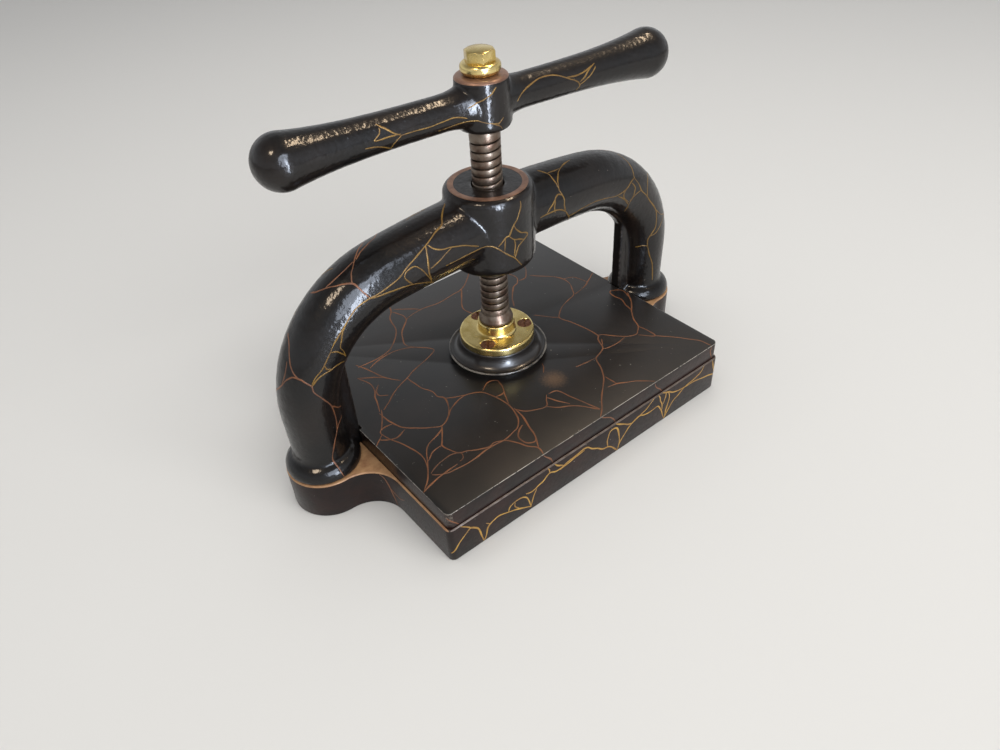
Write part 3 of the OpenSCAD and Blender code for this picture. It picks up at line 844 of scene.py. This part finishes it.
def layVeins(name, strokes, carrier, width, body, material):
    # strokes are (chart, points) pairs; a chart turns two numbers into a ray that finds the carrier's skin
    surface = bmesh.new()
    surface.from_mesh(carrier.data)
    skin = BVHTree.FromBMesh(surface)
    surface.free()
    bm = bmesh.new()
    lanes = veinBrush["lanes"]
    across = 2 * (len(lanes) - 1)
    for number, (chart, points) in enumerate(strokes):
        spots = []
        for spot in brushPath(points):
            seed = Vector((spot.x, spot.y, number * veinBrush["apart"]))
            drift = noise.noise_vector(seed * veinBrush["grain"])
            start, aim = chart(spot.x + drift.x * veinBrush["wander"], spot.y + drift.y * veinBrush["wander"])
            hit, normal, _, _ = skin.ray_cast(Vector(start) * mm, Vector(aim))
            if hit is not None:
                spots.append((hit, normal))
        if len(spots) < veinBrush["fewest"]:
            continue
        last = len(spots) - 1
        lines = []
        for i, (hit, normal) in enumerate(spots):
            along = spots[min(last, i + 1)][0] - spots[max(0, i - 1)][0]
            swell = noise.noise(hit * perMm(veinBrush["swellMm"]) + Vector((number, 0, 0)))
            load = veinBrush["load"] + veinBrush["swell"] * swell
            load *= min(1, veinBrush["tip"] + veinBrush["taper"] * min(i, last - i))
            lines.append((hit, normal, normal.cross(along).normalized(), width / 2 * load * mm))
        for v in bmesh.ops.create_grid(bm, x_segments=last, y_segments=across, size=0.5)["verts"]:
            hit, normal, aside, half = lines[round((v.co.x + 0.5) * last)]
            lane = round((v.co.y + 0.5) * across) - across // 2
            share, lift = lanes[abs(lane)]
            v.co = hit + aside * half * share * (1 if lane > 0 else -1) + normal * lift * mm
    return keepPiece(name, bm, body, [material], sharp=80)


# charts: where on a piece a stroke's two numbers lie

rayFrom = {"top": 80, "wall": 170, "side": 260, "arch": 55, "boss": 70, "hub": 45, "bar": 45}  # millimetres


def platenTop(x, y):
    return (x, y, rayFrom["top"]), (0, 0, -1)


def frontWall(x, z):
    return (x, -rayFrom["wall"], z), (0, 1, 0)


def backWall(x, z):
    return (-x, rayFrom["wall"], z), (0, -1, 0)


def leftWall(y, z):
    return (-rayFrom["side"], y, z), (1, 0, 0)


def rightWall(y, z):
    return (rayFrom["side"], -y, z), (-1, 0, 0)


archPath = {"legX": 180.0, "foot": 34.5, "bendX": 92.0, "bendZ": 88.0, "bendR": 88.0, "bendEnd": 84.0,
            "crownX": 101.2, "crownZ": 180.8, "crownStep": 0.9985}


def archChart(side, face):
    # run along the arch from its foot, and angle round it: 0 outward, -90 towards the face
    def chart(run, angle):
        legEnd = archPath["bendZ"] - archPath["foot"]
        bendEnd = legEnd + archPath["bendR"] * math.radians(archPath["bendEnd"])
        if run < legEnd:
            x, z, out, up = archPath["legX"], archPath["foot"] + run, 1.0, 0.0
        elif run < bendEnd:
            a = (run - legEnd) / archPath["bendR"]
            out, up = math.cos(a), math.sin(a)
            x, z = archPath["bendX"] + archPath["bendR"] * out, archPath["bendZ"] + archPath["bendR"] * up
        else:
            fall = math.tan(math.radians(90 - archPath["bendEnd"])) / archPath["crownX"]
            x = archPath["crownX"] - (run - bendEnd) * archPath["crownStep"]
            z = archPath["crownZ"] - fall * x * x / 2
            out, up = fall * x / math.hypot(fall * x, 1), 1 / math.hypot(fall * x, 1)
        c, s = math.cos(math.radians(angle)), math.sin(math.radians(angle)) * face
        aim = Vector((side * out * c, s, up * c))
        return Vector((side * x, 0, z)) + aim * rayFrom["arch"], -aim
    return chart


def roundChart(reach, face=1):
    # angle round an upright boss or hub, and height
    def chart(angle, z):
        a = math.radians(angle)
        c, s = math.cos(a), math.sin(a) * face
        return (reach * c, reach * s, z), (-c, -s, 0)
    return chart


handleLine = {"turn": -5.0, "height": 272.5}


def barChart(turn):
    # distance along the bar from the hub, and angle round it: 0 up, -90 front
    def chart(run, angle):
        a = math.radians(handleLine["turn"] + turn)
        along, aside = Vector((math.cos(a), math.sin(a), 0)), Vector((-math.sin(a), math.cos(a), 0))
        aim = aside * math.sin(math.radians(angle)) + Vector((0, 0, math.cos(math.radians(angle))))
        return along * run + Vector((0, 0, handleLine["height"])) + aim * rayFrom["bar"], -aim
    return chart


# strokes: x and y on the platen's top, x or y and z on walls, run and angle on arch and bar,
# angle and z on boss and hub, in millimetres and degrees

platenVeins = [
    [(-122, 2), (-127, -7), (-134, -17), (-138, -22), (-136, -31), (-131, -45), (-128, -58), (-128, -68),
     (-135, -83), (-149, -97)],
    [(-126, -1), (-125, -15), (-121, -27), (-115, -34), (-105, -42), (-96, -47), (-85, -41), (-78, -31),
     (-75, -22), (-78, -16), (-78, -8), (-82, 1), (-83, 8), (-84, 21)],
    [(-136, -19), (-131, -18), (-125, -19)],
    [(-143, -27), (-137, -32), (-130, -34.5), (-121, -31)],
    [(-138, -24), (-149, -32)],
    [(-85, -42), (-79, -36), (-68, -31.5), (-59, -31), (-50, -35), (-46, -40), (-43, -50), (-41, -62),
     (-42.5, -73), (-46, -82), (-52, -89), (-58, -91), (-68, -93), (-82, -92), (-95, -93), (-108, -93.5),
     (-121, -92), (-128, -89), (-133, -85)],
    [(-75, -22), (-68, -27), (-60, -30.5)],
    [(-96, -47), (-102, -55), (-107, -62), (-109.5, -66), (-107, -75), (-103.5, -81), (-97, -84), (-90, -88),
     (-83, -91), (-77, -90), (-69, -94.5), (-64, -102), (-61, -109), (-55.5, -117), (-57, -124.5)],
    [(-98, -50), (-107, -54), (-117, -58), (-123, -64), (-128, -72), (-134, -82)],
    [(-110, -65), (-118, -66), (-127, -72)],
    [(-133, -84), (-125, -80), (-113, -78), (-107, -79), (-103, -82), (-105, -87), (-109, -88)],
    [(-149, -96), (-140, -93), (-127, -90), (-112, -89)],
    [(-55.5, -117), (-49, -107), (-45.5, -95), (-41.5, -82), (-40.5, -70)],
    [(-48, -90), (-54.5, -93), (-59.5, -99), (-58.5, -107), (-53, -110.5), (-49.5, -107)],
    [(-28, -34), (-31, -44), (-36, -54), (-40, -63)],
    [(-46, -36), (-38, -31), (-32, -31), (-28, -35)],
    [(-43, -49), (-38, -50), (-33, -49)],
    [(-40, -72), (-36, -79), (-29, -83), (-20, -86), (-14, -80), (-10, -76)],
    [(-20, -86), (-14, -93), (-4, -99), (3, -107), (10, -118)],
    [(-12, -79), (-8, -88), (-3, -97)],
    [(-8, -76), (0, -78), (3, -90), (7, -104), (10.5, -118)],
    [(4, -124.5), (11, -119), (20, -110), (30, -101), (41, -91), (47, -82), (53, -70), (57, -67.5), (68, -63),
     (74, -51), (78, -46), (77, -30), (74, -15), (71, -4), (76, 2), (85, 8), (95, 12), (106, 15), (112, 22),
     (117, 32), (118, 42), (114, 52), (106, 61), (98, 70)],
    [(68, -124), (58, -114), (50, -109), (43, -105), (34, -103)],
    [(42, -92), (42.5, -105)],
    [(33, -66), (42, -67.5), (54, -68.5)],
    [(67, -63.5), (73, -66), (83, -66.5), (93, -65)],
    [(78, -47), (82, -49), (89, -58), (97, -66), (104, -69), (109, -66), (115, -61), (120, -51), (128, -41),
     (137, -32), (143, -24), (147, -17)],
    [(71, -60), (77, -53)],
    [(114, -62), (116, -72), (115, -82), (105, -71)],
    [(115, -82), (123, -91), (131, -102), (138, -113), (140, -124)],
    [(128, -41), (131, -30), (134, -22), (133, -12), (136, -5), (143, -8), (146, -14), (142, -24)],
    [(14, -43), (12, -47), (7, -53)],
    [(-121, 0), (-113, 5), (-105, 11), (-94, 17), (-84, 21), (-75, 25), (-62, 29), (-50, 33), (-44, 37),
     (-47, 44), (-55, 53), (-59, 61), (-55, 71), (-49, 81), (-42, 87), (-33, 94), (-20, 97), (-10, 96),
     (2, 94), (20, 96), (33, 98), (50, 110), (62, 124)],
    [(-125, 0), (-120, 11), (-118, 18), (-114, 25), (-112, 36), (-116, 50)],
    [(-108, 13), (-114, 18), (-113, 24), (-107, 30)],
    [(-90, 22), (-98, 35), (-101, 45), (-104, 57), (-108, 66)],
    [(-116, 50), (-106, 42), (-98, 35)],
    [(-101, 54), (-92, 58), (-75, 60), (-62, 57), (-55, 52)],
    [(-108, 62), (-90, 61), (-75, 64), (-65, 71), (-56, 80), (-51, 90), (-47, 105), (-40, 113), (-36, 124)],
    [(-40, 113), (-35, 101), (-37, 92), (-44, 86)],
    [(-36, 115), (-22, 103), (-17, 97)],
    [(33, 98), (22, 83), (14, 70), (16, 56)],
    [(52, 40), (60, 52), (72, 65), (80, 68), (86, 76), (84, 90)],
    [(84, 70), (92, 70), (98, 76), (104, 84), (108, 98), (102, 112), (104, 124)],
    [(108, 15), (120, 17), (132, 22), (147, 30)],
    [(56, 16), (60, 11), (66, 3), (72, -4)],
    [(119, 42), (128, 37), (132, 22)],
]
platenFront = [
    [(-57.3, 49.6), (-55, 46.5), (-52, 43), (-49.5, 39.5), (-48, 35.3)],
    [(4.5, 49.6), (10, 46.5), (15, 43), (19, 38.5), (20.5, 35.3)],
    [(67, 49.6), (69, 44), (74, 39), (77, 35.3)],
    [(140, 49.6), (139, 44), (142, 35.3)],
    [(-148, 46), (-144, 41), (-140, 35.3)],
]
bedFront = [
    [(-149, 9), (-146, 12), (-139.5, 19), (-133, 24), (-130, 24.5), (-125, 20), (-123, 14.5), (-121, 7),
     (-119.5, 2), (-117, 6), (-115, 13), (-109.5, 16.4), (-104.5, 17.6), (-99.5, 16.4), (-94.5, 14.5),
     (-87, 11.4), (-79.5, 7.6), (-72.5, 3.5)],
    [(-139.5, 33.5), (-133, 28), (-129, 24)],
    [(-117, 19), (-113, 15.7)],
    [(-95, 15), (-93, 19.5), (-87, 21.4), (-81, 20.7), (-77, 17.6), (-75, 13), (-72.8, 5)],
    [(-88, 20), (-88.5, 16), (-85, 12)],
    [(-77, 22), (-71, 20), (-64.5, 22), (-59.5, 23.5), (-54.5, 27), (-51, 27.5), (-46, 25), (-39.5, 25),
     (-32, 27), (-23, 28), (-16, 29.3), (-11, 28), (-7, 24), (0, 19), (6, 14.5), (12.5, 12.5), (17.5, 9),
     (21, 4), (24, 1.2)],
    [(-66, 20), (-69, 14.5), (-71, 9.5), (-72.6, 4)],
    [(-54.5, 33.8), (-53, 31), (-52.6, 27)],
    [(-47, 33.8), (-43, 29.5), (-38, 26)],
    [(-42, 24), (-33, 25), (-24, 26.5), (-15, 27.5)],
    [(24, 1.2), (25.6, 9.5), (25, 18), (23, 26), (19, 29.5), (14, 29), (12, 24.5), (11, 19.5), (12, 13)],
    [(24.5, 4), (27, 9.5), (31, 14), (36, 19), (41, 22), (49, 24.5), (54, 22.6), (60, 21.4), (66, 21.4),
     (72, 21.5), (75, 18), (78, 12), (80, 6), (82, 1.2)],
    [(20.5, 33.8), (27.5, 29), (35, 24), (40, 22)],
    [(49, 25), (57.5, 27.6), (62.5, 31), (66, 33.8)],
    [(77, 33.8), (80, 32.5), (86, 30), (91, 26.4), (100, 24), (110, 23), (120, 22.6), (126, 20.7), (134, 19),
     (141, 17.6), (149, 14.5)],
    [(72, 33.8), (74, 30), (75, 26), (77.5, 21), (78.5, 14)],
    [(81, 32), (81, 27), (79, 20)],
    [(83, 32), (86, 27), (86.5, 21), (84, 12), (82.5, 4)],
    [(82, 1.2), (86, 8), (92.5, 16), (99, 19), (105, 22.5)],
    [(108, 24), (120, 26), (127.5, 29), (131, 33.5)],
    [(142.5, 33.5), (144, 28), (146, 21), (149, 14.5), (149.3, 9)],
]
bedSide = [
    [(60, 20), (68, 25), (79, 22), (86, 14), (93, 16), (103, 23), (114, 20), (124, 12)],
    [(86, 14), (88, 6), (87, 1.2)],
]
bedCopper = [
    [(-43, 33), (-46, 29), (-49, 20.5), (-52, 10.5), (-54, 2)],
    [(-49, 20), (-54, 15), (-60, 14), (-66, 18)],
]
archLeftGold = [
    [(88, -65), (95, -70), (102, -77), (112, -79), (120, -77.5), (130, -77), (138, -75), (148, -72),
     (158, -76), (166, -80), (176, -80), (184, -76), (192, -67), (202, -59), (211, -51), (222, -40),
     (231, -32), (234, -22), (240, -8), (246, 6)],
    [(88, -67), (95, -75), (101, -92), (107, -110), (108, -122)],
    [(104, -78), (101.5, -85), (102, -92)],
    [(114, -80), (116, -90), (115, -105), (113, -118)],
    [(138, -75), (130, -80), (124, -87), (120, -92), (117, -105), (113, -118)],
    [(158, -76), (166, -85), (176, -92), (185, -97), (192, -102), (200, -110), (207, -120), (210, -132)],
    [(192, -101), (188.5, -90), (187, -80), (190, -73.5), (197, -72), (201, -82), (204, -95), (207, -110),
     (210, -126), (214, -142)],
    [(211, -51), (209, -67), (207, -85), (207, -100), (209, -120)],
    [(213, -52), (216, -62), (222, -69), (229, -72), (240, -80), (252, -93)],
    [(229, -73), (222, -79), (216, -85), (208, -90)],
]
archLeftCopper = [
    [(1, -93), (5, -91), (11, -89), (18, -87), (32, -100), (41, -112), (52, -116), (66, -110), (76, -92),
     (83, -72), (88, -65), (91, -45), (91, -32), (88, -20), (81, -5), (75, 15), (70, 34)],
    [(41, -112), (45, -125), (46, -140)],
    [(50, -156), (59, -130), (67, -110)],
    [(91, -42), (95, -25), (102, -12), (108, -2), (112, 14)],
    [(83, -8), (90, -13), (98, -11)],
    [(138, 14), (141, 0), (149, -20), (157, -40), (158, -62), (159, -75)],
    [(157, -40), (160, -27), (167, -10), (174, 8), (180, 24)],
    [(168, -10), (176, 2), (187, 15), (193, 34)],
    [(145, -9), (156, -12), (166, -10)],
]
archRightGold = [
    [(18, -97), (30, -100), (40, -105), (50, -115), (60, -120), (68, -120), (74, -110), (80, -97), (88, -90),
     (98, -84), (112, -86), (124, -84), (132, -82), (140, -72), (146, -65), (148, -50), (151, -32),
     (156, -12)],
    [(60, -120), (61, -135), (59, -150)],
    [(72, -112), (73, -98), (77, -82), (81, -62), (80, -40)],
    [(83, -60), (88, -74), (98, -84)],
    [(120, -85), (125, -70), (126, -50), (122, -28)],
    [(132, -82), (136, -90), (138, -100), (138, -112), (134, -125), (127, -142)],
    [(146, -65), (150, -75), (154, -90), (160, -102), (166, -107), (180, -107), (192, -106), (204, -110),
     (212, -115), (220, -117), (226, -102), (234, -92), (246, -91), (254, -92)],
    [(149, -76), (143, -82), (140, -95), (139, -112)],
    [(139, -115), (148, -112), (154, -102), (153.5, -90)],
    [(137, -121), (150, -112), (160, -107)],
    [(203, -7), (214, -15), (222, -25), (228, -40), (231, -55), (230, -65), (228, -77), (228, -90),
     (226, -102)],
    [(231, -55), (232, -40), (233, -25), (238, -8)],
    [(220, -21), (226, -22), (233, -22)],
    [(229, -70), (233, -65), (237, -70), (239, -85), (238, -95)],
    [(236, -68), (241, -78), (247, -89)],
    [(220, -117), (216, -130), (212, -146)],
]
bossVeins = [
    [(-168, 173), (-160, 174.5), (-140, 176), (-127, 175), (-120, 173), (-112, 169), (-104, 164.5),
     (-96, 160), (-90, 154.5), (-87, 152)],
    [(-119, 174.5), (-114, 177.5), (-108, 181), (-104, 181.5), (-101, 185.5), (-97, 189.5), (-92, 193),
     (-88, 198), (-85, 203), (-85, 207)],
    [(-97, 189.5), (-94, 185.5), (-88, 181.5), (-80, 179), (-74, 176.5), (-78, 174.5), (-85, 172.5),
     (-91, 170), (-94, 166), (-97, 161)],
    [(-104, 181), (-98, 178), (-88, 175.5), (-82, 174)],
    [(-109, 180), (-110, 176), (-111, 170)],
    [(-97, 177), (-96, 172), (-98, 163)],
]
barVeins = [
    [(-88, -42), (-85, -53), (-81, -68), (-77, -82), (-73, -93), (-76, -104), (-79, -118), (-80, -134)],
    [(-73, -93), (-63, -93), (-52, -95), (-41, -92), (-31, -89), (-22, -100)],
    [(-73, -88), (-82, -86), (-92, -85), (-88, -70), (-87, -54)],
    [(-100, -98), (-92, -104), (-86, -114), (-80, -130)],
    [(20, -94), (24, -80), (30, -66), (38, -54), (45, -47), (53, -49), (60, -58), (67, -74), (73, -86),
     (77, -99), (78, -112), (76, -128)],
    [(78, -97), (83, -82), (87, -66), (93, -52)],
    [(66, -70), (75, -73), (83, -68), (90, -57)],
    [(78, -106), (85, -92), (90, -76), (93, -62)],
]
hubVeins = [
    [(-178, 265), (-160, 267.3), (-140, 267), (-122, 265), (-108, 263.5), (-98, 262), (-92, 260),
     (-88, 257.5)],
    [(-152, 276.5), (-142, 278.5), (-130, 280), (-118, 282), (-106, 284.5), (-96, 288)],
    [(-106, 263.5), (-96, 263), (-84, 266)],
    [(-98, 262), (-94, 264)],
]


crestLimit = -8  # strokes for the far side end this many degrees short of the crest


def behind(strokes):
    parts = [[spot for spot in points if spot[1] < crestLimit] for points in strokes]
    return [points for points in parts if len(points) > 2]


def on(charts, strokes):
    return [(chart, points) for chart in charts for points in strokes]


def makeVeins():
    walls, sides = (frontWall, backWall), (leftWall, rightWall)
    layVeins("platenVeins", on([platenTop], platenVeins) + on(walls, platenFront), platenPiece,
             veinWidth["platen"], "platen", copperVein)
    layVeins("bedVeins", on(walls, bedFront) + on(sides, bedSide), bedPiece, veinWidth["bed"], "frame",
             goldVein)
    layVeins("bedCopperVeins", on(sides, bedCopper), bedPiece, veinWidth["bedCopper"], "frame",
             copperVein)
    leftFront, rightFront, leftBack, rightBack = (archChart(side, face) for face in (1, -1) for side in (-1, 1))
    gold = on([leftFront], archLeftGold) + on([rightFront], archRightGold)
    gold += on([rightBack], behind(archLeftGold)) + on([leftBack], behind(archRightGold))
    gold += on([roundChart(rayFrom["boss"], face) for face in (1, -1)], bossVeins)
    copper = on([leftFront], archLeftCopper) + on([rightBack], behind(archLeftCopper))
    layVeins("archGoldVeins", gold, archPiece, veinWidth["archGold"], "frame", dullGold)
    layVeins("archCopperVeins", copper, archPiece, veinWidth["archCopper"], "frame",
             copperVein)
    farHub = [[(angle + 180, z) for angle, z in points] for points in hubVeins]
    onHandle = on([barChart(0), barChart(180)], barVeins) + on([roundChart(rayFrom["hub"])], hubVeins + farHub)
    layVeins("handleVeins", onHandle, handlePiece, veinWidth["handle"], "spindle", dullGold)


makeVeins()
print("veins laid")
